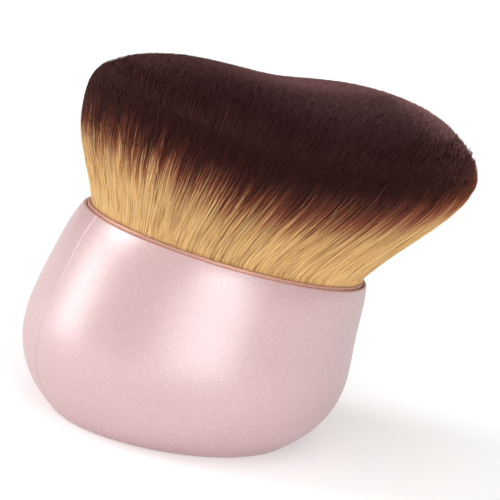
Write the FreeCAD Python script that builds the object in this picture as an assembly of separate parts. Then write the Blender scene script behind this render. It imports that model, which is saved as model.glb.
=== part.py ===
import FreeCAD, Part
import math
import os

from FreeCAD import Placement, Rotation, Vector

# Kabuki makeup brush: a hollow two-half handle with a slanted mouth, a ferrule cup and a flared fibre head.
# Millimetres. Origin at the centre of the flat base, +Z up, +X towards the low side of the mouth.

# Handle, outer form
base_radius = 23.8
base_edge_round = 2.0
belly_radius = 32.6
belly_height = 17.0
belly_fullness = 2.6
neck_fullness = 1.15
rim_radius = 29.75
rim_height = 37.0
rim_shift = 5.4
rim_slant = 7.2
lip_draw = 0.6
lip_sharpness = 10

# Handle, shell
wall = 2.4
lip_thickness = 0.6
lip_round = 0.25
seat_thickness = 1.6
shelf_thickness = 2.4
shelf_width = 6.4
tongue_thickness = 0.8
tongue_height = 1.0
tongue_root = 0.5
tongue_clearance = 0.15
joint_turn = 7.0
seam_width = 0.24
seam_depth = 0.07

# Base cap and ballast
base_land = 2.3
cap_flange_thickness = 1.4
cap_flange_width = 2.6
cap_spigot_height = 2.8
cap_clearance = 0.1
ballast_clearance = 1.9
ballast_thickness = 9.0
ballast_chamfer = 0.8
pad_margin = 2.0
pad_thickness = 1.0

# Ferrule cup and knot
cup_wall = 0.5
cup_floor = 0.8
cup_depth = 13.0
cup_stand = 0.6
cup_edge_round = 0.2
cup_clearance = 0.15
resin_thickness = 5.0
knot_clearance = 0.15
band_thickness = 0.5
band_height = 3.0
core_root_radius = 12.0
core_tip_radius = 6.0
core_length = 16.0

# Fibre head, outer form
head_length = 81.4
head_depth = 66.0
head_lean = 8.1
edge_rise = 19.6
edge_slant = 2.3
flare_low = (0.4, 0.42)
flare_high = (0.8, 0.87)
crown_height = 15.6
end_fullness = 3.3
end_round_tall = 3.8
end_round_low = 2.1
side_fullness = 2.2
side_round = 1.8
valley_depth = 1.8
valley_shift = 1.1
valley_width = 15.4
crown_flat_share = 0.08

# How finely the curved forms are described
ring_points = 24
handle_levels = (0.0, 0.05, 0.14, 0.28, 0.46, 0.64, 0.82, 0.94, 1.0)
crown_levels = (0.985, 0.95, 0.9, 0.82, 0.68, 0.48, 0.25)
edge_tolerance = 0.02

# Radii and levels about the base
cap_flange_radius = base_radius - base_land
cap_spigot_radius = cap_flange_radius - cap_flange_width
ballast_radius = cap_spigot_radius - ballast_clearance
pad_radius = ballast_radius - pad_margin
floor_thickness = cap_flange_thickness + seat_thickness
spigot_top = cap_flange_thickness + cap_spigot_height
ballast_low = spigot_top + pad_thickness

# Radii about the mouth, and heights above the rim plane
lip_radius = rim_radius - lip_draw
bore_radius = lip_radius - lip_thickness
cup_radius = bore_radius - cup_clearance
cup_inner_radius = cup_radius - cup_wall
knot_radius = cup_inner_radius - knot_clearance
shelf_opening_radius = cup_radius - shelf_width
cup_low = -cup_depth
cup_inner_low = cup_low + cup_floor
resin_top = cup_inner_low + resin_thickness
shelf_low = cup_low - shelf_thickness

# Centre of the head, and the height of its edge there
head_shift = rim_shift + head_lean
edge_height = rim_height + edge_rise
valley_place = head_shift + valley_shift

# Box larger than the whole brush, for splitting and trimming
reach = 4 * (head_length + rim_height + head_depth)

# Slanted frame of the mouth: origin at the centre of the rim, local Z out of the mouth
mouth = Placement(Vector(rim_shift, 0, rim_height), Rotation(Vector(0, 1, 0), rim_slant))


def save(shape, name):
    shape.exportStep(os.path.join("parts", name + ".step"))


def handle_section_radius(level):
    """Outer radius of the handle's round section, level 0 at the base and 1 at the rim."""
    belly_level = belly_height / rim_height
    if level <= belly_level:
        below = 1 - level / belly_level
        return belly_radius - (belly_radius - base_radius) * below ** belly_fullness
    above = (level - belly_level) / (1 - belly_level)
    return belly_radius - (belly_radius - rim_radius) * above ** neck_fullness - lip_draw * above ** lip_sharpness


def handle_section(level, inset):
    """Round section whose centre drifts to the low side and whose plane tilts with it."""
    circle = Part.Wire(Part.makeCircle(handle_section_radius(level) - inset))
    centre = Vector(rim_shift * level ** 2, 0, rim_height * level)
    circle.Placement = Placement(centre, Rotation(Vector(0, 1, 0), rim_slant * level))
    return circle


def handle_form(inset=0.0):
    """Solid inside the handle's outer surface, drawn in by inset."""
    return Part.makeLoft([handle_section(level, inset) for level in handle_levels], True, False)


def mouth_cylinder(radius, low, high):
    """Cylinder square to the mouth, between two heights above the rim plane."""
    cylinder = Part.makeCylinder(radius, high - low, Vector(0, 0, low))
    cylinder.Placement = mouth.multiply(cylinder.Placement)
    return cylinder


def mouth_cone(low_radius, high_radius, low, high):
    """Cone square to the mouth, between two heights above the rim plane."""
    cone = Part.makeCone(low_radius, high_radius, high - low, Vector(0, 0, low))
    cone.Placement = mouth.multiply(cone.Placement)
    return cone


def upright_cylinder(radius, low, high):
    return Part.makeCylinder(radius, high - low, Vector(0, 0, low))


def below_mouth(height):
    """Everything under a plane parallel to the rim."""
    block = Part.makeBox(reach, reach, reach, Vector(-reach / 2, -reach / 2, height - reach))
    block.Placement = mouth.multiply(block.Placement)
    return block


def above_level(height):
    return Part.makeBox(reach, reach, reach, Vector(-reach / 2, -reach / 2, height))


def slab(front, back):
    """Everything between two upright planes parallel to the joint of the halves."""
    block = Part.makeBox(reach, back - front, reach, Vector(-reach / 2, front, -reach / 2))
    block.Placement = Placement(Vector(), Rotation(Vector(0, 0, 1), joint_turn)).multiply(block.Placement)
    return block


def round_edges(shape, place, radius):
    """Edges of the given radius about a place's own axis, in its own plane."""
    found = []
    for edge in shape.Edges:
        points = [place.inverse().multVec(vertex.Point) for vertex in edge.Vertexes]
        in_plane = all(abs(point.z) < edge_tolerance for point in points)
        on_circle = all(abs(math.hypot(point.x, point.y) - radius) < edge_tolerance for point in points)
        if points and in_plane and on_circle and edge.Length > radius:
            found.append(edge)
    return found


def handle_shell():
    """Whole hollow handle before it is split."""
    outer = handle_form()
    outer = outer.makeFillet(base_edge_round, round_edges(outer, Placement(), base_radius))
    cavity = handle_form(wall).common(below_mouth(shelf_low)).common(above_level(floor_thickness))
    shell = outer.cut(cavity)
    shell = shell.cut(mouth_cylinder(bore_radius, cup_low, reach))
    shell = shell.cut(mouth_cylinder(shelf_opening_radius, shelf_low - wall, cup_low))
    shell = shell.cut(upright_cylinder(cap_flange_radius + cap_clearance, -wall, cap_flange_thickness))
    shell = shell.cut(upright_cylinder(cap_spigot_radius + cap_clearance, 0, floor_thickness))
    lip = round_edges(shell, mouth, lip_radius) + round_edges(shell, mouth, bore_radius)
    return shell.makeFillet(lip_round, lip).cut(seam_groove())


def seam_groove():
    """Fine groove round the outside, where the edges of the two halves are eased."""
    span = slab(-seam_width / 2, seam_width / 2)
    return handle_form(-wall).common(span).cut(handle_form(seam_depth).common(span))


def joint_tongue(clearance, front, back):
    """Band in the middle of the shell's wall, which locates one half on the other."""
    outer_inset = (wall - tongue_thickness) / 2
    span = slab(front, back).common(below_mouth(shelf_low)).common(above_level(floor_thickness))
    outer = handle_form(outer_inset - clearance).common(span)
    inner = handle_form(outer_inset + tongue_thickness + clearance).common(span)
    return outer.cut(inner)


def handle_halves():
    shell = handle_shell()
    front = shell.common(slab(-reach / 2, 0)).fuse(joint_tongue(0, -tongue_root, tongue_height))
    groove = joint_tongue(tongue_clearance, 0, tongue_height + tongue_clearance)
    back = shell.common(slab(0, reach / 2)).cut(groove)
    return front, back


def base_cap():
    flange = upright_cylinder(cap_flange_radius, 0, cap_flange_thickness)
    return flange.fuse(upright_cylinder(cap_spigot_radius, 0, spigot_top)).removeSplitter()


def ballast_pad():
    return upright_cylinder(pad_radius, spigot_top, ballast_low)


def ballast_weight():
    disc = upright_cylinder(ballast_radius, ballast_low, ballast_low + ballast_thickness)
    return disc.makeChamfer(ballast_chamfer, [edge for edge in disc.Edges if edge.Closed])


def ferrule_cup():
    cup = mouth_cylinder(cup_radius, cup_low, cup_stand)
    cup = cup.cut(mouth_cylinder(cup_inner_radius, cup_inner_low, reach))
    edge_place = mouth.multiply(Placement(Vector(0, 0, cup_stand), Rotation()))
    edges = round_edges(cup, edge_place, cup_radius) + round_edges(cup, edge_place, cup_inner_radius)
    return cup.makeFillet(cup_edge_round, edges)


def resin_plug():
    return mouth_cylinder(knot_radius, cup_inner_low, resin_top)


def binding_band():
    ring = mouth_cylinder(knot_radius, resin_top, resin_top + band_height)
    return ring.cut(mouth_cylinder(knot_radius - band_thickness, resin_top, resin_top + band_height))


def knot_core(clearance=0.0):
    return mouth_cone(core_root_radius + clearance, core_tip_radius + clearance, resin_top,
                      resin_top + core_length + clearance)


def closed_ring(points):
    curve = Part.BSplineCurve()
    curve.interpolate(points, PeriodicFlag=True)
    return Part.Wire(curve.toShape())


def turn_angles():
    return [2 * math.pi * k / ring_points for k in range(ring_points)]


def mouth_ring(radius, height):
    """Ring of the knot, square to the mouth."""
    return [mouth.multVec(Vector(radius * math.cos(a), radius * math.sin(a), height)) for a in turn_angles()]


def crown_point(share, angle, flat=False):
    """Point of the head's top, share 0 at its middle and 1 at its edge."""
    x = head_shift + share * head_length / 2 * math.cos(angle)
    y = share * head_depth / 2 * math.sin(angle)
    if flat:
        x_level, share = head_shift, 0.0
    else:
        x_level = x
    low_side = (1 + math.cos(angle)) / 2
    across = math.sin(angle) ** 2
    end_round = end_round_tall + (end_round_low - end_round_tall) * low_side
    fullness = end_fullness + (side_fullness - end_fullness) * across
    roundness = end_round + (side_round - end_round) * across
    dome = max(1 - share ** fullness, 0.0) ** (1 / roundness)
    valley = valley_depth * math.exp(-((x_level - valley_place) / valley_width) ** 2)
    edge = edge_height - (x_level - head_shift) * math.tan(math.radians(edge_slant))
    return Vector(x, y, edge + dome * (crown_height - valley))


def crown_ring(share, flat=False):
    return [crown_point(share, a, flat) for a in turn_angles()]


def flare_ring(neck_points, edge_points, flare):
    """Ring of the fan part of the way up, with its own share of the outward travel."""
    height_share, travel_share = flare
    points = []
    for low, high in zip(neck_points, edge_points):
        x = low.x + (high.x - low.x) * travel_share
        y = low.y + (high.y - low.y) * travel_share
        points.append(Vector(x, y, low.z + (high.z - low.z) * height_share))
    return closed_ring(points)


def bristle_bundle():
    """Fibre head: roots inside the cup, a flared fan and a domed top with a shallow valley across it."""
    root_radius = knot_radius - band_thickness - knot_clearance
    band_top = resin_top + band_height + knot_clearance
    root_ring = closed_ring(mouth_ring(root_radius, resin_top))
    band_ring = closed_ring(mouth_ring(root_radius, band_top))
    neck_points = mouth_ring(knot_radius, cup_stand)
    neck_ring = closed_ring(neck_points)
    edge_points = crown_ring(1.0)
    edge = closed_ring(edge_points)
    flares = [flare_ring(neck_points, edge_points, flare) for flare in (flare_low, flare_high)]
    roots = Part.makeLoft([root_ring, band_ring, neck_ring], True, True)
    fan = Part.makeLoft([neck_ring] + flares + [edge], True, False)
    rings = [edge] + [closed_ring(crown_ring(share)) for share in crown_levels]
    rings.append(closed_ring(crown_ring(crown_flat_share, True)))
    crown = Part.makeLoft(rings, True, False)
    return roots.fuse([fan, crown]).cut(knot_core(knot_clearance))


os.makedirs("parts", exist_ok=True)

front_half, back_half = handle_halves()
save(front_half, "handle_front_half")
save(back_half, "handle_back_half")
save(base_cap(), "base_cap")
save(ballast_pad(), "ballast_pad")
save(ballast_weight(), "ballast_weight")
save(ferrule_cup(), "ferrule_cup")
save(resin_plug(), "resin_plug")
save(binding_band(), "binding_band")
save(knot_core(), "knot_core")
save(bristle_bundle(), "bristle_bundle")
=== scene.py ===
import math

import bpy
import numpy as np
from mathutils import Matrix, Vector


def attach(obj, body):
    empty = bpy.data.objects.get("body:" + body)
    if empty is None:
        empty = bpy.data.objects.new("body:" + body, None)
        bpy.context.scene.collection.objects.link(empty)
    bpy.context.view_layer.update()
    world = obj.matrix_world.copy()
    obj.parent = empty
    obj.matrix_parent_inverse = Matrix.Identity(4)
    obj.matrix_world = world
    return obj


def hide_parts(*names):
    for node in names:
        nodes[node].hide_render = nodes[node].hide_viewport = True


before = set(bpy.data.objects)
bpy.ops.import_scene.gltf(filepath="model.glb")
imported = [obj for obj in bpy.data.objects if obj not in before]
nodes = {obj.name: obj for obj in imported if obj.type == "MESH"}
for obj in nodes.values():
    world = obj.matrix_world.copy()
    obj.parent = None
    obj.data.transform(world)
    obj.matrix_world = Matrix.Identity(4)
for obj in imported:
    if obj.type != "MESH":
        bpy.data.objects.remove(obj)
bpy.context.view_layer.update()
scene = bpy.context.scene

RANDOM_SEED = 57
rng = np.random.default_rng(RANDOM_SEED)

MM = 0.001
FULL_TURN = 2 * math.pi
TINY = 1e-6

# Sizes of the brush in millimetres, the same as in the part's source
RIM_HEIGHT = 37.0
RIM_SHIFT = 5.4
RIM_SLANT = math.radians(7.2)
KNOT_RADIUS = 27.75
CUP_STAND = 0.6
JOINT_TURN = math.radians(7.0)
HEAD_LENGTH = 81.4
HEAD_DEPTH = 66.0
HEAD_SHIFT = RIM_SHIFT + 8.1
EDGE_HEIGHT = RIM_HEIGHT + 19.6
EDGE_FALL = math.tan(math.radians(2.3))
CROWN_HEIGHT = 15.6
END_FULLNESS = 3.3
END_ROUND_TALL = 3.8
END_ROUND_LOW = 2.1
SIDE_FULLNESS = 2.2
SIDE_ROUND = 1.8
VALLEY_DEPTH = 1.8
VALLEY_PLACE = HEAD_SHIFT + 1.1
VALLEY_WIDTH = 15.4

# Outward travel of a fibre against its height, both as shares, and how it goes on past the head's edge
TRAVEL = (0.729, 1.156, -0.885)
TRAVEL_PAST = 0.386
TRAVEL_FADE = 2.0
TRAVEL_BELOW = 0.3

# Turn of the fibres towards the low side as they rise, and the height share at which it stops growing
FIBRE_LEAN = 0.12
LEAN_LIMIT = 1.5

# Camera: its focal length in pixels of the photograph, and distances in millimetres
PHOTO_SIDE = 500
FOCAL_PX = 2535.0
SENSOR_WIDTH = 36.0
CLIP_START = 10.0
CAMERA_AZIMUTH = math.radians(24.0)
CAMERA_ELEVATION = math.radians(12.4)
CAMERA_ROLL = math.radians(10.25)
CAMERA_DISTANCE = 500.0
AIM_RIGHT = 9.97
AIM_HEIGHT = 36.75


def add_camera():
    """Camera at the photograph's viewing angle."""
    back = Vector((-math.sin(CAMERA_AZIMUTH) * math.cos(CAMERA_ELEVATION),
                   -math.cos(CAMERA_AZIMUTH) * math.cos(CAMERA_ELEVATION),
                   math.sin(CAMERA_ELEVATION)))
    right = Vector((math.cos(CAMERA_AZIMUTH), -math.sin(CAMERA_AZIMUTH), 0.0))
    up = back.cross(right)
    aim = right * AIM_RIGHT + Vector((0, 0, AIM_HEIGHT))
    place = Matrix((right, up, back)).transposed().to_4x4()
    place.translation = (aim + back * CAMERA_DISTANCE) * MM
    data = bpy.data.cameras.new("camera")
    data.sensor_width = SENSOR_WIDTH
    data.lens = SENSOR_WIDTH * FOCAL_PX / PHOTO_SIDE
    data.clip_start = CLIP_START * MM
    camera = bpy.data.objects.new("camera", data)
    scene.collection.objects.link(camera)
    camera.matrix_world = place @ Matrix.Rotation(CAMERA_ROLL, 4, "Z")
    scene.camera = camera


# Places of the colour sockets on a Mix node
MIX_INPUTS = (0, 6, 7)
MIX_RESULT = 2


def new_material(name):
    """Material with nodes, its tree and its shader."""
    material = bpy.data.materials.new(name)
    material.use_nodes = True
    tree = material.node_tree
    return material, tree, tree.nodes["Principled BSDF"]


def link_or_set(tree, socket, value):
    """Links an input to another node's output, or sets it to a value."""
    if isinstance(value, bpy.types.NodeSocket):
        tree.links.new(value, socket)
    else:
        socket.default_value = value


def add(tree, kind, **values):
    """Node of a kind, with its named inputs and properties set."""
    made = tree.nodes.new(kind)
    for key, value in values.items():
        if key in made.inputs:
            link_or_set(tree, made.inputs[key], value)
        else:
            setattr(made, key, value)
    return made


def math_node(tree, operation, *values, clamp=False):
    """Result of a sum on values and sockets."""
    made = add(tree, "ShaderNodeMath", operation=operation, use_clamp=clamp)
    for socket, value in zip(made.inputs, values):
        link_or_set(tree, socket, value)
    return made.outputs[0]


def map_range(tree, source, start, end, first, last, interpolation="LINEAR"):
    """Value that goes from first to last while the source goes from start to end."""
    made = add(tree, "ShaderNodeMapRange", Value=source, interpolation_type=interpolation)
    for key, value in (("From Min", start), ("From Max", end), ("To Min", first), ("To Max", last)):
        made.inputs[key].default_value = value
    return made.outputs[0]


def ramp(tree, source, stops):
    """Colour that follows a source through stops of a place and a colour."""
    made = tree.nodes.new("ShaderNodeValToRGB")
    tree.links.new(source, made.inputs[0])
    while len(made.color_ramp.elements) < len(stops):
        made.color_ramp.elements.new(0.5)
    for element, (place, colour) in zip(made.color_ramp.elements, stops):
        element.position = place
        element.color = (*colour, 1.0)
    return made.outputs[0]


def mix_colour(tree, factor, a, b):
    """Colour between two others."""
    made = add(tree, "ShaderNodeMix", data_type="RGBA")
    for place, value in zip(MIX_INPUTS, (factor, a, b)):
        link_or_set(tree, made.inputs[place], value)
    return made.outputs[MIX_RESULT]


def srgb(red, green, blue):
    """Linear colour of a screen colour, given in values of 0 to 255."""
    def linear(value):
        value = value / 255
        return value / 12.92 if value <= 0.04045 else ((value + 0.055) / 1.055) ** 2.4
    return linear(red), linear(green), linear(blue)


# Handle paint, with widths, depths and heights in metres
PAINT_STOPS = ((0.0, srgb(203, 160, 162)), (0.7, srgb(212, 170, 172)), (1.0, srgb(227, 191, 193)))
PAINT_ROUGHNESS = (0.34, 0.40)
PAINT_IOR = 2.6
FLAKE_SCALE = 8000.0
GRAIN_SCALE = 5200.0
GRAIN_DETAIL = 2.0
GRAIN_STRENGTH = 0.2
GRAIN_DEPTH = 0.00002
# Painted highlight along the handle's joint: its colour, width, strength and fade towards the base
JOINT_GLINT_COLOUR = srgb(255, 238, 238)
JOINT_GLINT_HALF_WIDTH = 0.00008
JOINT_GLINT_EDGE = 0.00022
JOINT_GLINT_STRENGTH = 0.8
JOINT_GLINT_FADE_HEIGHTS = (0.012, 0.034)
JOINT_GLINT_LOW_SHARE = 0.25


def joint_glint(tree, place):
    """Strength of the painted highlight along the handle's joint, which fades towards the base where the
    lit streak ends.
    """
    spot = add(tree, "ShaderNodeSeparateXYZ", Vector=place)
    along_y = math_node(tree, "MULTIPLY", spot.outputs[1], math.cos(JOINT_TURN))
    along_x = math_node(tree, "MULTIPLY", spot.outputs[0], math.sin(JOINT_TURN))
    away = math_node(tree, "ABSOLUTE", math_node(tree, "SUBTRACT", along_y, along_x))
    near = map_range(tree, away, JOINT_GLINT_HALF_WIDTH, JOINT_GLINT_EDGE, JOINT_GLINT_STRENGTH, 0.0, "SMOOTHSTEP")
    fade = map_range(tree, spot.outputs[2], *JOINT_GLINT_FADE_HEIGHTS, JOINT_GLINT_LOW_SHARE, 1.0)
    return math_node(tree, "MULTIPLY", near, fade)


def paint_material():
    """Satin pearl paint: a pink base with fine pale flakes, a broad white gloss and a painted highlight
    along the joint.
    """
    material, tree, shader = new_material("pearl_paint")
    place = add(tree, "ShaderNodeTexCoord").outputs["Object"]
    flakes = add(tree, "ShaderNodeTexVoronoi", Vector=place, Scale=FLAKE_SCALE)
    grain = add(tree, "ShaderNodeTexNoise", Vector=place, Scale=GRAIN_SCALE, Detail=GRAIN_DETAIL)
    flake = add(tree, "ShaderNodeSeparateColor", Color=flakes.outputs["Color"]).outputs[0]
    # The pale line along the joint is a painted highlight mixed into the base colour
    base = mix_colour(tree, joint_glint(tree, place), ramp(tree, flake, PAINT_STOPS), (*JOINT_GLINT_COLOUR, 1.0))
    tree.links.new(base, shader.inputs["Base Color"])
    roughness = map_range(tree, grain.outputs[0], 0.0, 1.0, *PAINT_ROUGHNESS)
    tree.links.new(roughness, shader.inputs["Roughness"])
    bump = add(tree, "ShaderNodeBump", Height=grain.outputs[0],
               Strength=GRAIN_STRENGTH, Distance=GRAIN_DEPTH)
    tree.links.new(bump.outputs[0], shader.inputs["Normal"])
    shader.inputs["IOR"].default_value = PAINT_IOR
    return material


# Mottled finishes of the other CAD pieces
MOTTLE_DETAIL = 4.0
MOTTLE_START = 0.3
MOTTLE_END = 0.7
ROUGHNESS_SPREAD = 0.06
RELIEF_STRENGTH = 0.3

# Node, material, darker and lighter colour, scale of the mottle, roughness, metal share, relief in metres
FINISHES = (
    ("base_cap", "cap_plastic", srgb(226, 186, 188), srgb(238, 202, 203), 900.0, 0.45, 0.0, 0.0),
    ("ballast_pad", "foam", srgb(208, 208, 204), srgb(228, 228, 224), 2400.0, 0.85, 0.0, 0.0002),
    ("ballast_weight", "steel", srgb(150, 150, 152), srgb(186, 186, 188), 1200.0, 0.35, 1.0, 0.0),
    ("ferrule_cup", "copper", srgb(198, 148, 130), srgb(218, 172, 154), 1800.0, 0.42, 0.4, 0.0),
    ("resin_plug", "resin", srgb(206, 176, 120), srgb(222, 196, 142), 300.0, 0.25, 0.0, 0.0),
    ("binding_band", "brass", srgb(190, 150, 84), srgb(216, 178, 110), 1500.0, 0.35, 1.0, 0.0),
    ("knot_core", "core_plastic", srgb(214, 212, 204), srgb(230, 228, 220), 700.0, 0.5, 0.0, 0.0),
)


def mottled_material(name, low, high, scale, roughness, metallic, relief):
    """Material with a mottled colour, roughness that follows it and, on some, a little relief."""
    material, tree, shader = new_material(name)
    place = add(tree, "ShaderNodeTexCoord").outputs["Object"]
    noise = add(tree, "ShaderNodeTexNoise", Vector=place, Scale=scale, Detail=MOTTLE_DETAIL).outputs[0]
    colour = ramp(tree, noise, ((MOTTLE_START, low), (MOTTLE_END, high)))
    tree.links.new(colour, shader.inputs["Base Color"])
    uneven = map_range(tree, noise, 0.0, 1.0, roughness - ROUGHNESS_SPREAD, roughness + ROUGHNESS_SPREAD)
    tree.links.new(uneven, shader.inputs["Roughness"])
    if relief:
        bump = add(tree, "ShaderNodeBump", Height=noise, Strength=RELIEF_STRENGTH, Distance=relief)
        tree.links.new(bump.outputs[0], shader.inputs["Normal"])
    shader.inputs["Metallic"].default_value = metallic
    return material


# Colours of a fibre in painted shade and in painted light against the way value, 0 at the root and 1 at
# the tip
DARK_WAY = 0.84
GOLD_SHADED = srgb(178, 108, 60)
GOLD_LIT = srgb(255, 217, 153)
RUST_SHADED = srgb(116, 54, 42)
RUST_LIT = srgb(186, 106, 76)
DARK_SHADED = srgb(34, 17, 16)
DARK_LIT = srgb(92, 52, 49)
# Pale tip colours past the dark way: a painted sheen on the fibre ends
TIP_SHEEN_SHADED = srgb(120, 80, 80)
TIP_SHEEN_LIT = srgb(188, 138, 138)
SHADED_STOPS = ((0.0, GOLD_SHADED), (0.175, GOLD_SHADED), (0.245, RUST_SHADED), (0.34, DARK_SHADED),
              (DARK_WAY, DARK_SHADED), (1.0, TIP_SHEEN_SHADED))
LIT_STOPS = ((0.0, GOLD_LIT), (0.19, GOLD_LIT), (0.26, RUST_LIT), (0.375, DARK_LIT),
                (DARK_WAY, DARK_LIT), (1.0, TIP_SHEEN_LIT))
FIBRE_ROUGHNESS = 0.45
LOOSE_SPECULAR = 0.1
PACKED_SPECULAR = 0.0


def fibre_material(name, specular):
    """Dyed fibre: the bake map holds the tone across, from painted shade to painted light, and the way
    value up.
    """
    material, tree, shader = new_material(name)
    spot = add(tree, "ShaderNodeUVMap", uv_map="OFBake").outputs[0]
    split = add(tree, "ShaderNodeSeparateXYZ", Vector=spot)
    tone, way = split.outputs[0], split.outputs[1]
    colour = mix_colour(tree, tone, ramp(tree, way, SHADED_STOPS), ramp(tree, way, LIT_STOPS))
    tree.links.new(colour, shader.inputs["Base Color"])
    shader.inputs["Roughness"].default_value = FIBRE_ROUGHNESS
    shader.inputs["Specular IOR Level"].default_value = specular
    return material


def dress(node, material):
    """Gives a CAD node one material."""
    node.data.materials.clear()
    node.data.materials.append(material)
    for face in node.data.polygons:
        face.material_index = 0


def add_mesh(name, points, loops, counts, uvs, material):
    """Piece from points in millimetres, corner indices, corners per face and a map point per corner."""
    mesh = bpy.data.meshes.new(name)
    mesh.vertices.add(len(points))
    mesh.vertices.foreach_set("co", (points * MM).astype(np.float32).ravel())
    mesh.loops.add(len(loops))
    mesh.loops.foreach_set("vertex_index", loops.astype(np.int32))
    mesh.polygons.add(len(counts))
    starts = np.concatenate(([0], np.cumsum(counts)[:-1]))
    mesh.polygons.foreach_set("loop_start", starts.astype(np.int32))
    mesh.polygons.foreach_set("use_smooth", np.ones(len(counts), dtype=bool))
    mesh.update(calc_edges=True)
    layer = mesh.uv_layers.new(name="OFBake")
    layer.data.foreach_set("uv", uvs.astype(np.float32).ravel())
    mesh.validate()
    mesh.materials.append(material)
    piece = bpy.data.objects.new(name, mesh)
    scene.collection.objects.link(piece)
    return piece


# Height shares between which every fibre meets the head's top, and the halvings that find where
END_RANGE = (0.5, 2.4)
END_HALVINGS = 30


def rising(value, start, span):
    """0 up to the start, 1 from a span further on, and even between them."""
    return np.clip((value - start) / span, 0.0, 1.0)


def mouth_point(x, y, height):
    """Point given in the slanted frame of the mouth."""
    return (RIM_SHIFT + x * math.cos(RIM_SLANT) + height * math.sin(RIM_SLANT),
            y,
            RIM_HEIGHT - x * math.sin(RIM_SLANT) + height * math.cos(RIM_SLANT))


def travel(h):
    """Share of its way outward that a fibre has gone at a height share."""
    below = TRAVEL[0] * h * TRAVEL_BELOW
    inside = TRAVEL[0] * h + TRAVEL[1] * h ** 2 + TRAVEL[2] * h ** 3
    past = 1 + TRAVEL_PAST * (1 - np.exp(-TRAVEL_FADE * (h - 1))) / TRAVEL_FADE
    return np.where(h < 0, below, np.where(h <= 1, inside, past))


def leaned(angle, h):
    """Angle about the head of a fibre at a height share: it leans to the low side as it rises."""
    return angle - FIBRE_LEAN * np.sin(angle) * np.clip(h, 0.0, LEAN_LIMIT)


def fibre_point(share, angle, h):
    """Place on a fibre: share 0 in the middle of the knot and 1 at its outside, h 0 at the cup's edge."""
    turned = leaned(angle, h)
    cos, sin = np.cos(turned), np.sin(turned)
    x0, y0, z0 = mouth_point(share * KNOT_RADIUS * cos, share * KNOT_RADIUS * sin, CUP_STAND)
    x1 = HEAD_SHIFT + share * HEAD_LENGTH / 2 * cos
    y1 = share * HEAD_DEPTH / 2 * sin
    z1 = EDGE_HEIGHT - (x1 - HEAD_SHIFT) * EDGE_FALL
    f = travel(h)
    point = np.broadcast_arrays(x0 + (x1 - x0) * f, y0 + (y1 - y0) * f, z0 + (z1 - z0) * h)
    return np.stack(point, axis=-1)


def crown_level(x, y):
    """Height of the head's top over a place."""
    ex = (x - HEAD_SHIFT) / (HEAD_LENGTH / 2)
    ey = y / (HEAD_DEPTH / 2)
    share = np.maximum(np.hypot(ex, ey), TINY)
    low_side = (1 + ex / share) / 2
    across = (ey / share) ** 2
    end_round = END_ROUND_TALL + (END_ROUND_LOW - END_ROUND_TALL) * low_side
    fullness = END_FULLNESS + (SIDE_FULLNESS - END_FULLNESS) * across
    roundness = end_round + (SIDE_ROUND - end_round) * across
    dome = np.maximum(1 - share ** fullness, 0.0) ** (1 / roundness)
    valley = VALLEY_DEPTH * np.exp(-((x - VALLEY_PLACE) / VALLEY_WIDTH) ** 2)
    return EDGE_HEIGHT - (x - HEAD_SHIFT) * EDGE_FALL + dome * (CROWN_HEIGHT - valley)


def fibre_end(share, angle):
    """Height share at which a fibre meets the head's top."""
    low = np.full_like(share, END_RANGE[0])
    high = np.full_like(share, END_RANGE[1])
    for _ in range(END_HALVINGS):
        middle = (low + high) / 2
        point = fibre_point(share, angle, middle)
        under = crown_level(point[..., 0], point[..., 1]) > point[..., 2]
        low = np.where(under, middle, low)
        high = np.where(under, high, middle)
    return low


# Sides of a fibre's tube, and the small room that its faces take in the bake map
TUBE_SIDES = 3
TONE_WIDTH = 0.004
TONE_EDGE = 0.006
END_WAY = 0.002


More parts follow.
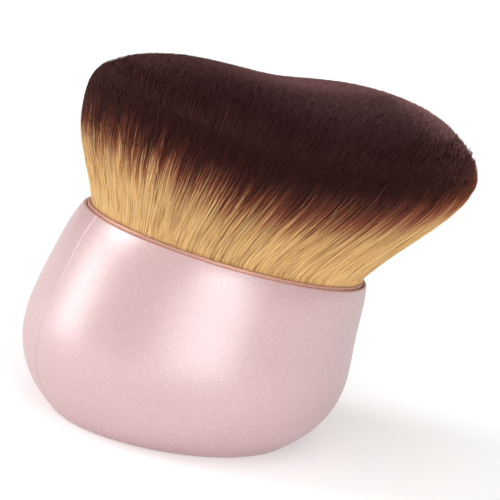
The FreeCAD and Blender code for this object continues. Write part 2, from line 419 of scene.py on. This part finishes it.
def tube_mesh(name, paths, radii, tone, way, material):
    """Closed tubes along paths (fibre, point, xyz), with a radius, a tone and a way value per point."""
    count, steps, _ = paths.shape
    along = np.gradient(paths, axis=1)
    along /= np.linalg.norm(along, axis=2, keepdims=True)
    outward = paths - np.array((HEAD_SHIFT, 0.0, RIM_HEIGHT))
    side = np.cross(along, outward)
    side /= np.linalg.norm(side, axis=2, keepdims=True)
    front = np.cross(side, along)
    turns = np.arange(TUBE_SIDES) * 2 * math.pi / TUBE_SIDES
    ring = (front[:, :, None, :] * np.cos(turns)[None, None, :, None]
            + side[:, :, None, :] * np.sin(turns)[None, None, :, None])
    points = paths[:, :, None, :] + ring * radii[:, :, None, None]
    base = (np.arange(count) * steps * TUBE_SIDES)[:, None, None]
    low = base + (np.arange(steps - 1) * TUBE_SIDES)[None, :, None]
    high = low + TUBE_SIDES
    here = np.arange(TUBE_SIDES)[None, None, :]
    after = (here + 1) % TUBE_SIDES
    quads = np.stack((low + here, low + after, high + after, high + here), axis=-1)
    foot = base[:, :, 0] + (-np.arange(TUBE_SIDES)) % TUBE_SIDES
    top = base[:, :, 0] + (steps - 1) * TUBE_SIDES + np.arange(TUBE_SIDES)
    loops = np.concatenate((quads.reshape(count, -1), foot, top), axis=1)
    tone = np.clip(tone, TONE_EDGE, 1 - TONE_EDGE)
    spread = np.array((-TONE_WIDTH, TONE_WIDTH, TONE_WIDTH, -TONE_WIDTH))
    u = np.stack((tone[:, :-1], tone[:, :-1], tone[:, 1:], tone[:, 1:]), axis=-1) + spread
    v = np.stack((way[:, :-1], way[:, :-1], way[:, 1:], way[:, 1:]), axis=-1)
    quad_uv = np.repeat(np.stack((u, v), axis=-1)[:, :, None], TUBE_SIDES, axis=2)
    nudge = np.array((0.0, 0.0, END_WAY))
    foot_uv = np.stack((tone[:, :1] + spread[:TUBE_SIDES], way[:, :1] + nudge), axis=-1)
    top_uv = np.stack((tone[:, -1:] + spread[:TUBE_SIDES], way[:, -1:] - nudge), axis=-1)
    uvs = np.concatenate((quad_uv.reshape(count, -1, 2), foot_uv, top_uv), axis=1)
    fibre_counts = np.concatenate((np.full((steps - 1) * TUBE_SIDES, 4), (TUBE_SIDES, TUBE_SIDES)))
    counts = np.tile(fibre_counts, count)
    return add_mesh(name, points.reshape(-1, 3), loops.ravel(), counts, uvs.reshape(-1, 2), material)


# Fibres: radii and lengths in millimetres, heights as shares of the rise from the rim to the head's edge
FIBRE_RADIUS = 0.055
THICKNESS_LEAST = 0.75
THICKNESS_SPAN = 0.45
ROOT_HEIGHT = -0.09
RISE = EDGE_HEIGHT - RIM_HEIGHT

# Dye: the way value of its middle, millimetres for a way of 1, and its middle's height round the head
DYE_PLACE = 0.262
DYE_SPAN = 50.0
DYE_LEVEL = 0.77
DYE_WAVE = 0.15
DYE_TILT = 0.06
DYE_LOW_END = 0.055
DYE_STRAY = 2.0
ROOT_WAY = 0.004

# Steps and scale that scatter whole numbers over 0 to 1
SCATTER_STEPS = (12.9898, 78.233, 37.719)
SCATTER_SCALE = 43758.5453


def scattered(a, b, seed):
    """Fixed value of 0 to 1 for each pair of whole numbers."""
    value = np.sin(a * SCATTER_STEPS[0] + b * SCATTER_STEPS[1] + seed * SCATTER_STEPS[2]) * SCATTER_SCALE
    return value - np.floor(value)


def waves(angle, turns, h, span, seed):
    """Smooth value of -1 to 1 that changes with the angle about the head and with height."""
    a = angle / FULL_TURN * turns
    b = h / span
    a0, b0 = np.floor(a), np.floor(b)
    fa, fb = a - a0, b - b0
    fa, fb = fa * fa * (3 - 2 * fa), fb * fb * (3 - 2 * fb)
    left, right = np.mod(a0, turns), np.mod(a0 + 1, turns)
    low = scattered(left, b0, seed) * (1 - fa) + scattered(right, b0, seed) * fa
    high = scattered(left, b0 + 1, seed) * (1 - fa) + scattered(right, b0 + 1, seed) * fa
    return 2 * (low * (1 - fb) + high * fb) - 1


def thicknesses(radius, count):
    """Radius of each fibre of a kind, one per row."""
    return radius * (THICKNESS_LEAST + THICKNESS_SPAN * rng.random(count))[:, None]


def dye_level(angle):
    """Height of the dye's middle round the head: high at both ends, most at the low one."""
    return (DYE_LEVEL + DYE_WAVE * np.cos(2 * angle) + DYE_TILT * np.cos(angle)
            + DYE_LOW_END * np.maximum(np.cos(angle), 0.0))


def dye_way(h, angle, stray):
    """Way values along fibres: the dye follows its height on the head, and each fibre strays from it."""
    turned = leaned(angle[:, None], h)
    return DYE_PLACE + ((h - dye_level(turned)) * RISE + stray[:, None]) / DYE_SPAN


# Side fibres: their number in a sector, and how far in they lie, in layers with locks of their own
SIDE_FIBRES = 3900
SIDE_SECTORS = 8
SIDE_POINTS = 9
SIDE_DEPTH = 0.10
SIDE_DEPTH_POWER = 1.7
SIDE_LAYERS = 3
SIDE_LIMIT = 1.004
SIDE_TAPER_PLACES = (0.0, 0.6, 0.9, 1.0)
SIDE_TAPER = (1.0, 1.0, 0.7, 0.25)

# The head's low end, by the cosine of the angle about the head
LOW_END_START = 0.75
LOW_END_SPAN = 0.2

# Locks: their number round the head, height span, sway as a share of a lock, and how soon they open
LOCKS = 640
LOCK_SPAN = 0.3
LOCK_SWAY = 0.3
LOCK_OPENING = 3.5
LOCK_LAYER_STEP = 7.0
LOCK_SEED = 1.0
FIBRE_TURN = 0.006
FIBRE_DRIFT = 0.003

# Ragged ends, in millimetres
END_LOCKS = LOCKS // 2
END_TUFTS = LOCKS // 6
END_RAGGED = 0.14
END_LOCK_DEPTH = 0.15
END_LOW_DEPTH = 0.45
END_ABOVE = 0.3
END_LAYER_STEP = 9.0
END_LOCK_SEED = 5.0
END_TUFT_SEED = 6.0

# Stray of the dye from lock to lock, in millimetres, and how much of it shows round the head
DYE_WIDE_LOCKS = 75
DYE_WIDE_DEPTH = 0.9
DYE_WIDE_SEED = 7.0
DYE_FINE_LOCKS = 260
DYE_FINE_DEPTH = 0.8
DYE_FINE_SEED = 8.0
DYE_LAYER_STEP = 3.0
DYE_SPREAD = 0.85
DYE_SPREAD_TALL = 0.7
DYE_SPREAD_LOW = 0.15

# Tone of the side fibres, from painted shade to painted light: some take a painted sheen, the gold is
# brighter, both ends of the head are painted lighter, and short slits are painted shadow
SIDE_TONE = 0.34
SIDE_TONE_SPAN = 0.3
TALL_END_LIGHT_TONE = 0.17
LOW_END_LIGHT_TONE = 0.45
SHEEN_PAINT_SHARE = 0.07
SHEEN_PAINT_TONE = 0.95
GOLD_FADE_START = 0.24
GOLD_FADE_SPAN = 0.14
GOLD_TONE = 0.5
TONE_LIMIT = 1.05
TONE_NOISE = 0.13
SHADOW_SLIT_SHARE = 0.16
SHADOW_SLIT_DEPTH = 0.85


def side_ends(angle, share, layer, low_end):
    """Height shares at which side fibres end: a little ragged, and in tufts at the head's low end."""
    locks = waves(angle, END_LOCKS, layer * END_LAYER_STEP, 1.0, END_LOCK_SEED)
    tufts = waves(angle, END_TUFTS, layer * END_LAYER_STEP, 1.0, END_TUFT_SEED)
    ragged = rng.normal(0.0, END_RAGGED, len(angle)) + (END_LOCK_DEPTH + END_LOW_DEPTH * low_end) * locks
    ragged += END_LOW_DEPTH * low_end * tufts
    return fibre_end(share, angle) + (ragged + END_ABOVE) / RISE


def side_paths(angle, share, layer, low_end):
    """Points along side fibres and their height shares: the fibres part and close as small locks."""
    end = side_ends(angle, share, layer, low_end)
    steps = np.linspace(0.0, 1.0, SIDE_POINTS)[None, :]
    h = ROOT_HEIGHT + (end[:, None] - ROOT_HEIGHT) * steps
    free = np.clip(h * LOCK_OPENING, 0.0, 1.0)
    sway = waves(angle[:, None], LOCKS, h + layer[:, None] * LOCK_LAYER_STEP, LOCK_SPAN, LOCK_SEED)
    own_turn = rng.normal(0.0, FIBRE_TURN, len(angle))[:, None] * h
    turned = angle[:, None] + free * (LOCK_SWAY * FULL_TURN / LOCKS * sway + own_turn)
    drift = free * rng.normal(0.0, FIBRE_DRIFT, len(angle))[:, None] * np.sin(math.pi * steps)
    paths = fibre_point(np.minimum(share[:, None] + drift, SIDE_LIMIT), turned, h)
    return paths, h


def side_way(angle, layer, h):
    """Way values along side fibres: the dye strays from fibre to fibre and from lock to lock."""
    spread = (DYE_SPREAD + DYE_SPREAD_TALL * np.maximum(-np.cos(angle), 0.0)
              - DYE_SPREAD_LOW * np.maximum(np.cos(angle), 0.0))
    wide = DYE_WIDE_DEPTH * waves(angle, DYE_WIDE_LOCKS, layer * DYE_LAYER_STEP, 1.0, DYE_WIDE_SEED)
    fine = DYE_FINE_DEPTH * waves(angle, DYE_FINE_LOCKS, layer * DYE_LAYER_STEP, 1.0, DYE_FINE_SEED)
    stray = spread * (rng.normal(0.0, DYE_STRAY, len(angle)) + wide + fine)
    return np.clip(dye_way(h, angle, stray), ROOT_WAY, DARK_WAY)


def side_tone(angle, low_end, way):
    """Tone values along side fibres: one for each fibre, brighter in the gold, with painted light at the
    head's ends, painted sheen on a few fibres and painted shadow in short slits.
    """
    count = len(angle)
    own = SIDE_TONE + SIDE_TONE_SPAN * rng.random(count)
    # Painted light: the tall end and the low end of the head are lighter
    own = own + TALL_END_LIGHT_TONE * np.maximum(-np.cos(angle), 0.0) + LOW_END_LIGHT_TONE * low_end
    # Painted sheen: a few fibres take the lit end of the tone
    own = np.where(rng.random(count) < SHEEN_PAINT_SHARE, SHEEN_PAINT_TONE, own)
    gold = 1 - rising(way, GOLD_FADE_START, GOLD_FADE_SPAN)
    tone = np.minimum(own[:, None] + GOLD_TONE * gold, TONE_LIMIT)
    tone = tone + rng.normal(0.0, TONE_NOISE, way.shape)
    # Painted shadow: short dark slits where gaps between locks fall in shade
    return tone - np.where(rng.random(way.shape) < SHADOW_SLIT_SHARE, SHADOW_SLIT_DEPTH, 0.0)


def side_fibres(name, first, last, material):
    """Fibres of one sector of the head's side, whole from the cup to their ends."""
    angle = first + (last - first) * rng.random(SIDE_FIBRES)
    depth = rng.random(SIDE_FIBRES) ** SIDE_DEPTH_POWER
    share = 1 - SIDE_DEPTH * depth
    layer = np.floor(depth * SIDE_LAYERS)
    low_end = rising(np.cos(angle), LOW_END_START, LOW_END_SPAN)
    paths, h = side_paths(angle, share, layer, low_end)
    taper = np.interp(np.linspace(0.0, 1.0, SIDE_POINTS), SIDE_TAPER_PLACES, SIDE_TAPER)
    radii = thicknesses(FIBRE_RADIUS, SIDE_FIBRES) * taper
    way = side_way(angle, layer, h)
    tone = side_tone(angle, low_end, way)
    return tube_mesh(name, paths, radii, tone, way, material)


# Crown fibres: how they stand, lean and stay inside the side ones, in millimetres, shares and radians
CROWN_SECTORS = 4
CROWN_SINK = 0.1
CROWN_LIMIT = 0.94
CROWN_LIMIT_BELOW = 1.5
CROWN_LEAN = 1.0
CROWN_LEAN_GROWTH = 0.0165
CROWN_TAPER_BELOW = (0.0, 0.6, 2.0)
CROWN_TAPER = (0.3, 0.7, 1.0)
SLOPE_STEP = 0.2
STANDING_SLOPE = math.radians(32.0)
LAID_OPEN = math.radians(14.0)
WANDER = 0.02
WANDER_ARM = 12.0
WANDER_ARM_LEAST = 3.0
FALL_START = 28.0
FALL_SPAN = 16.0
FALL_LEAN_LOSS = 0.75

# Fibres that lie over the front and back of the top
LAID_FIBRES = 4600
LAID_BELOW = np.array((5.0, 3.2, 1.5, 0.5, 0.0))
LAID_OUTER = 0.97
LAID_RADIUS = 0.075
LAID_SHEEN_PAINT_SHARE = 0.12
LAID_UNEVEN = 0.06
LAID_UNEVEN_SPAN = 0.08
LAID_UNEVEN_FROM = 0.3
LAID_UNEVEN_OVER = 0.4

# Fibres that stand close together on the top
TOP_FIBRES = 7500
TOP_BELOW = np.array((3.0, 0.9, 0.0))
TOP_OUTER = 0.8
TOP_CROWDING = 0.6
TOP_RADIUS = 0.06
TOP_SHEEN_PAINT_SHARE = 0.05
TOP_UNEVEN = 0.1

# Tone and way values of the crown fibres, with painted light on the tips that face up, on the low side
# and at the far end; places along the head are in millimetres
CROWN_TONE = 0.2
CROWN_TONE_SPAN = 0.45
CROWN_WAY_LEAST = 0.1
CROWN_WAY_MOST = 0.8
NEAR_TIP_WAY = 0.82
TIP_WAY_SPAN = 0.15
TIP_FACING_LEAST = 0.24
TIP_LIGHT_PAINT = 0.3
LOW_SIDE_START = -8.0
LOW_SIDE_SPAN = 30.0
LOW_SIDE_LIGHT_PAINT = 0.65
FAR_END_START = 32.0
FAR_END_SPAN = 14.0
FAR_END_LIGHT_PAINT = 0.8
FAR_END_LIGHT_TONE = 0.3


def crown_slope(x, y):
    """Steepness of the head's top from front to back."""
    return (crown_level(x, y + SLOPE_STEP) - crown_level(x, y - SLOPE_STEP)) / (2 * SLOPE_STEP)


def held_inside(paths, h, below):
    """Paths drawn in where they would come out through the side fibres."""
    reach = travel(h)
    middle = RIM_SHIFT + (HEAD_SHIFT - RIM_SHIFT) * reach
    half_length = KNOT_RADIUS + (HEAD_LENGTH / 2 - KNOT_RADIUS) * reach
    half_depth = KNOT_RADIUS + (HEAD_DEPTH / 2 - KNOT_RADIUS) * reach
    out = np.hypot((paths[..., 0] - middle) / half_length, paths[..., 1] / half_depth)
    limit = np.interp(below, (0.0, CROWN_LIMIT_BELOW), (1.0, CROWN_LIMIT))
    held = np.minimum(limit / np.maximum(out, TINY), 1.0)
    paths[..., 0] = middle + (paths[..., 0] - middle) * held
    paths[..., 1] *= held
    return paths


def crown_paths(angle, share, below, h, tip, slope, standing):
    """Points along crown fibres: they lean to the low side, and lie down where the top is steep."""
    steep = np.arctan(np.abs(slope))
    rise = np.minimum(steep + LAID_OPEN + (math.pi / 2 - LAID_OPEN) * standing ** 2, math.pi / 2)
    arm = WANDER_ARM * share[:, None] + WANDER_ARM_LEAST
    wander = rng.normal(0.0, WANDER, len(angle))[:, None] * (below[0] - below) / arm
    falling = rising(tip[:, 0], FALL_START, FALL_SPAN)
    lean = (CROWN_LEAN + CROWN_LEAN_GROWTH * (tip[:, 0] - HEAD_SHIFT)) * (1 - FALL_LEAN_LOSS * falling)
    paths = fibre_point(share[:, None], angle[:, None] + wander, h)
    paths[..., 0] = tip[:, :1] - lean[:, None] * below
    paths[..., 1] -= (np.sign(slope) / np.tan(rise))[:, None] * below
    return held_inside(paths, h, below)


def crown_way(angle, h, tip, standing, far_end):
    """Way values along crown fibres: dark, with tips painted paler as painted light where they face up,
    on the low side and at the far end.
    """
    stray = rng.normal(0.0, DYE_STRAY, len(angle))
    way = np.clip(dye_way(h, angle, stray), CROWN_WAY_LEAST, CROWN_WAY_MOST)
    way[:, -2] = np.maximum(way[:, -2], NEAR_TIP_WAY)
    facing = TIP_FACING_LEAST + (1 - TIP_FACING_LEAST) * standing
    low_side = rising(tip[:, 0], LOW_SIDE_START, LOW_SIDE_SPAN)
    # Painted light: tips that face up, on the low side and at the far end take more of the pale tip
    # colour
    pale = facing * (TIP_LIGHT_PAINT + LOW_SIDE_LIGHT_PAINT * low_side) + FAR_END_LIGHT_PAINT * far_end
    way[:, -1] = DARK_WAY + TIP_WAY_SPAN * np.clip(pale, 0.0, 1.0)
    return way


def crown_fibres(name, angle, share, below, uneven, radius, sheen_paint_share, material):
    """Upper ends of the fibres inside the side ones."""
    count = len(angle)
    end = fibre_end(share, angle) + (uneven * rng.normal(0.0, 1.0, count) - CROWN_SINK) / RISE
    tip = fibre_point(share, angle, end)
    slope = crown_slope(tip[:, 0], tip[:, 1])
    standing = 1 - rising(np.arctan(np.abs(slope)), 0.0, STANDING_SLOPE)
    far_end = rising(tip[:, 0], FAR_END_START, FAR_END_SPAN)
    h = end[:, None] - below / RISE
    paths = crown_paths(angle, share, below, h, tip, slope, standing)
    radii = thicknesses(radius, count) * np.interp(below, CROWN_TAPER_BELOW, CROWN_TAPER)
    own = CROWN_TONE + CROWN_TONE_SPAN * rng.random(count)
    # Painted light: fibres at the far end take a lighter tone
    own = np.where(rng.random(count) < sheen_paint_share, SHEEN_PAINT_TONE, own) + FAR_END_LIGHT_TONE * far_end
    tone = np.repeat(own[:, None], len(below), axis=1)
    way = crown_way(angle, h, tip, standing, far_end)
    return tube_mesh(name, paths, radii, tone, way, material)


def laid_fibres(name, first, last, material):
    """Crown fibres of one sector, spread evenly over the whole top."""
    angle = first + (last - first) * rng.random(LAID_FIBRES)
    share = LAID_OUTER * np.sqrt(rng.random(LAID_FIBRES))
    uneven = LAID_UNEVEN + LAID_UNEVEN_SPAN * rising(share, LAID_UNEVEN_FROM, LAID_UNEVEN_OVER)
    return crown_fibres(name, angle, share, LAID_BELOW, uneven, LAID_RADIUS, LAID_SHEEN_PAINT_SHARE, material)


def top_fibres(name, first, last, material):
    """Crown fibres of one sector, short and close together away from the edge."""
    angle = first + (last - first) * rng.random(TOP_FIBRES)
    share = TOP_OUTER * rng.random(TOP_FIBRES) ** TOP_CROWDING
    return crown_fibres(name, angle, share, TOP_BELOW, TOP_UNEVEN, TOP_RADIUS, TOP_SHEEN_PAINT_SHARE, material)


# Stray fibres: height shares, lengths and radii in millimetres, turns in radians, lift as a share
STRAY_FIBRES = 110
STRAY_POINTS = 6
STRAY_START = 0.15
STRAY_START_SPAN = 0.6
STRAY_LENGTH = 4.0
STRAY_LENGTH_SPAN = 5.0
STRAY_TURN = 0.02
STRAY_BOW = 0.008
STRAY_LIFT = 0.002
STRAY_LIFT_SPAN = 0.006
STRAY_ARC = (0.08 * math.pi, 0.8 * math.pi)
STRAY_RADIUS = 0.05
STRAY_TAPER_PLACES = (0.0, 0.7, 1.0)
STRAY_TAPER = (0.8, 1.0, 0.2)
STRAY_LIGHT_TONE = 0.98
STRAY_DYE = -3.0
STRAY_DYE_SPREAD = 1.5
STRAY_WAY_LEAST = 0.05
STRAY_WAY_MOST = 0.30


def stray_fibres(material):
    """A few fibres that lie across the others on the head's side, painted pale as fully lit."""
    count = STRAY_FIBRES
    angle = FULL_TURN * rng.random(count)
    start = STRAY_START + STRAY_START_SPAN * rng.random(count)
    length = (STRAY_LENGTH + STRAY_LENGTH_SPAN * rng.random(count)) / RISE
    steps = np.linspace(0.0, 1.0, STRAY_POINTS)[None, :]
    h = start[:, None] + length[:, None] * steps
    turn = rng.normal(0.0, STRAY_TURN, count)[:, None] * steps
    bow = rng.normal(0.0, STRAY_BOW, count)[:, None] * np.sin(math.pi * steps)
    lift = (STRAY_LIFT + STRAY_LIFT_SPAN * rng.random(count))[:, None]
    share = 1.0 + lift * np.sin(np.linspace(*STRAY_ARC, STRAY_POINTS))
    paths = fibre_point(share, angle[:, None] + turn + bow, h)
    radii = STRAY_RADIUS * np.interp(steps, STRAY_TAPER_PLACES, STRAY_TAPER) * np.ones((count, 1))
    # Painted light: the stray fibres take the lit end of the tone
    tone = np.full(h.shape, STRAY_LIGHT_TONE)
    stray = rng.normal(STRAY_DYE, STRAY_DYE_SPREAD, count)
    way = np.clip(dye_way(h, angle, stray), STRAY_WAY_LEAST, STRAY_WAY_MOST)
    return tube_mesh("stray_fibres", paths, radii, tone, way, material)


# Mass of fibres under the loose ones: its rings, its drop below the top in millimetres and its map
# values; its tone is painted shade
CORE_TURNS = 192
CORE_LEVELS = 26
CORE_CROWN = 20
CORE_CROWN_OUTER = 0.97
CORE_SHARE = 0.965
CORE_DROP = 0.7
CORE_SHADE_TONE = 0.12
CORE_LID_WAY = 0.83
CORE_FOOT_WAY = 0.01
CORE_WAY_WIDTH = 0.004


def core_rings(angle, share, end):
    """Rings of points up the side of the mass and in over its top."""
    rings = []
    for level in np.linspace(0.0, 1.0, CORE_LEVELS):
        rings.append(fibre_point(share, angle, ROOT_HEIGHT + (end - ROOT_HEIGHT) * level))
    for part in np.linspace(CORE_CROWN_OUTER, 0.0, CORE_CROWN)[:-1]:
        inner = share * part
        rings.append(fibre_point(inner, angle, fibre_end(inner, angle) - CORE_DROP / RISE))
    return np.stack(rings)


def core_way(rings, angle, end):
    """Way values of the mass, by the length from its foot, with the dye as high as on the fibres."""
    steps = np.linalg.norm(np.diff(rings, axis=0), axis=2)
    lengths = np.concatenate((np.zeros((1, CORE_TURNS)), np.cumsum(steps, axis=0)))
    dyed = (dye_level(angle) - ROOT_HEIGHT) / (end - ROOT_HEIGHT) * lengths[CORE_LEVELS - 1]
    return np.clip(DYE_PLACE + (lengths - dyed) / DYE_SPAN, ROOT_WAY, DARK_WAY)


def head_core(material):
    """Closed mass of fibres under the loose ones, from inside the cup up to just below the top, coloured
    with painted shade.
    """
    angle = np.arange(CORE_TURNS) / CORE_TURNS * 2 * math.pi
    share = np.full(CORE_TURNS, CORE_SHARE)
    end = fibre_end(share, angle) - CORE_DROP / RISE
    rings = core_rings(angle, share, end)
    way = core_way(rings, angle, end)
    count = len(rings)
    low = (np.arange(count - 1) * CORE_TURNS)[:, None]
    high = low + CORE_TURNS
    here = np.arange(CORE_TURNS)[None, :]
    after = (here + 1) % CORE_TURNS
    quads = np.stack((low + here, low + after, high + after, high + here), axis=-1).reshape(-1, 4)
    lid = (count - 1) * CORE_TURNS + np.arange(CORE_TURNS)
    foot = np.arange(CORE_TURNS)[::-1]
    loops = np.concatenate((quads.ravel(), lid, foot))
    counts = np.concatenate((np.full(len(quads), 4), (CORE_TURNS, CORE_TURNS)))
    # Painted shade: the mass takes the shaded end of the tone
    left = np.full((count - 1, CORE_TURNS), CORE_SHADE_TONE - TONE_WIDTH)
    right = left + 2 * TONE_WIDTH
    next_way = np.roll(way, -1, axis=1)
    quad_uv = np.stack((np.stack((left, way[:-1]), -1), np.stack((right, next_way[:-1]), -1),
                        np.stack((right, next_way[1:]), -1), np.stack((left, way[1:]), -1)), axis=-2)
    ring_u = CORE_SHADE_TONE + TONE_WIDTH * np.cos(angle)
    ring_v = CORE_WAY_WIDTH * np.sin(angle)
    lid_uv = np.stack((ring_u, CORE_LID_WAY + ring_v), axis=-1)
    foot_uv = np.stack((ring_u, CORE_FOOT_WAY + ring_v), axis=-1)
    uvs = np.concatenate((quad_uv.reshape(-1, 2), lid_uv, foot_uv))
    return add_mesh("fibre_core", rings.reshape(-1, 3), loops, counts, uvs, material)


# Lamps: name, azimuth and elevation in degrees, distance, width and height in metres, power in watts
LAMPS = (
    ("side_low", -115, 8, 0.8, 0.34, 0.24, 1.1),
    ("side_high", -115, 34, 0.8, 0.32, 0.3, 1.9),
    ("front_left", -38, 9, 0.9, 0.3, 0.24, 0.36),
    ("front_middle", -19, 7, 0.9, 0.3, 0.2, 0.6),
    ("front_right", 0, 7, 0.9, 0.3, 0.2, 0.75),
    ("front_high", -14, 26, 0.9, 0.5, 0.24, 1.8),
    ("top", 0, 76, 0.8, 0.7, 0.7, 2.2),
)
LAMP_AIM = Vector((0.005, 0.0, 0.035))


def area_light(name, azimuth, elevation, distance, width, height, power):
    """Soft box that looks at the middle of the brush; azimuth 0 is in front, positive to the right."""
    azimuth, elevation = math.radians(azimuth), math.radians(elevation)
    away = Vector((math.sin(azimuth) * math.cos(elevation),
                   -math.cos(azimuth) * math.cos(elevation),
                   math.sin(elevation)))
    data = bpy.data.lights.new(name, "AREA")
    data.shape = "RECTANGLE"
    data.size = width
    data.size_y = height
    data.energy = power
    lamp = bpy.data.objects.new(name, data)
    scene.collection.objects.link(lamp)
    lamp.location = LAMP_AIM + away * distance
    lamp.rotation_euler = away.to_track_quat("Z", "Y").to_euler()


# Floor and world: metres, the floor's glow with distance, and the world's strength from the horizon up
WHITE = (1.0, 1.0, 1.0, 1.0)
FLOOR_COLOUR = (0.86, 0.86, 0.86, 1.0)
FLOOR_ROUGHNESS = 0.9
FLOOR_REACH = 3.0
FLOOR_DROP = 0.00005
GLOW_DISTANCES = (0.05, 0.6)
GLOW_STRENGTHS = (0.34, 0.75)
WORLD_HEIGHTS = (-0.02, 0.14)
WORLD_STRENGTHS = (1.0, 0.30)


def seen_ray(tree):
    """1 for camera, glossy and transmission rays."""
    path = add(tree, "ShaderNodeLightPath")
    total = math_node(tree, "ADD", path.outputs["Is Camera Ray"], path.outputs["Is Glossy Ray"])
    return math_node(tree, "ADD", total, path.outputs["Is Transmission Ray"], clamp=True)


def add_floor():
    """Plain pale floor, which goes to white away from the brush."""
    mesh = bpy.data.meshes.new("floor")
    corners = [(-FLOOR_REACH, -FLOOR_REACH, 0), (FLOOR_REACH, -FLOOR_REACH, 0),
               (FLOOR_REACH, FLOOR_REACH, 0), (-FLOOR_REACH, FLOOR_REACH, 0)]
    mesh.from_pydata(corners, [], [(0, 1, 2, 3)])
    floor = bpy.data.objects.new("floor", mesh)
    scene.collection.objects.link(floor)
    floor.location.z = -FLOOR_DROP
    material, tree, shader = new_material("floor")
    shader.inputs["Base Color"].default_value = FLOOR_COLOUR
    shader.inputs["Roughness"].default_value = FLOOR_ROUGHNESS
    shader.inputs["Specular IOR Level"].default_value = 0.0
    shader.inputs["Emission Color"].default_value = WHITE
    distance = add(tree, "ShaderNodeVectorMath", operation="LENGTH")
    tree.links.new(add(tree, "ShaderNodeTexCoord").outputs["Object"], distance.inputs[0])
    glow = map_range(tree, distance.outputs["Value"], *GLOW_DISTANCES, *GLOW_STRENGTHS)
    lift = math_node(tree, "MULTIPLY", seen_ray(tree), glow)
    tree.links.new(lift, shader.inputs["Emission Strength"])
    mesh.materials.append(material)


def add_world():
    """White world, bright at the horizon and dim above, so that the paint keeps its contrast."""
    world = bpy.data.worlds.new("studio")
    scene.world = world
    world.use_nodes = True
    tree = world.node_tree
    background = tree.nodes["Background"]
    background.inputs["Color"].default_value = WHITE
    way = add(tree, "ShaderNodeTexCoord").outputs["Generated"]
    up = add(tree, "ShaderNodeSeparateXYZ", Vector=way).outputs[2]
    strength = map_range(tree, up, *WORLD_HEIGHTS, *WORLD_STRENGTHS, "SMOOTHSTEP")
    tree.links.new(strength, background.inputs["Strength"])


def sectors(count):
    """Number, first angle and last angle of each of the equal sectors about the head."""
    turn = FULL_TURN / count
    return [(i + 1, i * turn, (i + 1) * turn) for i in range(count)]


def add_head():
    """Pieces of the fibre head."""
    fibre = fibre_material("dyed_fibre", LOOSE_SPECULAR)
    pieces = [head_core(fibre_material("packed_fibre", PACKED_SPECULAR))]
    for number, first, last in sectors(SIDE_SECTORS):
        pieces.append(side_fibres("side_fibres_%d" % number, first, last, fibre))
    for number, first, last in sectors(CROWN_SECTORS):
        pieces.append(laid_fibres("laid_fibres_%d" % number, first, last, fibre))
        pieces.append(top_fibres("top_fibres_%d" % number, first, last, fibre))
    pieces.append(stray_fibres(fibre))
    return pieces


add_camera()
add_floor()
add_world()
for lamp in LAMPS:
    area_light(*lamp)

paint = paint_material()
dress(nodes["handle_front_half"], paint)
dress(nodes["handle_back_half"], paint)
for node, *finish in FINISHES:
    dress(nodes[node], mottled_material(*finish))

for piece in add_head():
    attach(piece, "root")
    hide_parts("bristle_bundle")

scene.view_settings.view_transform = "Standard"
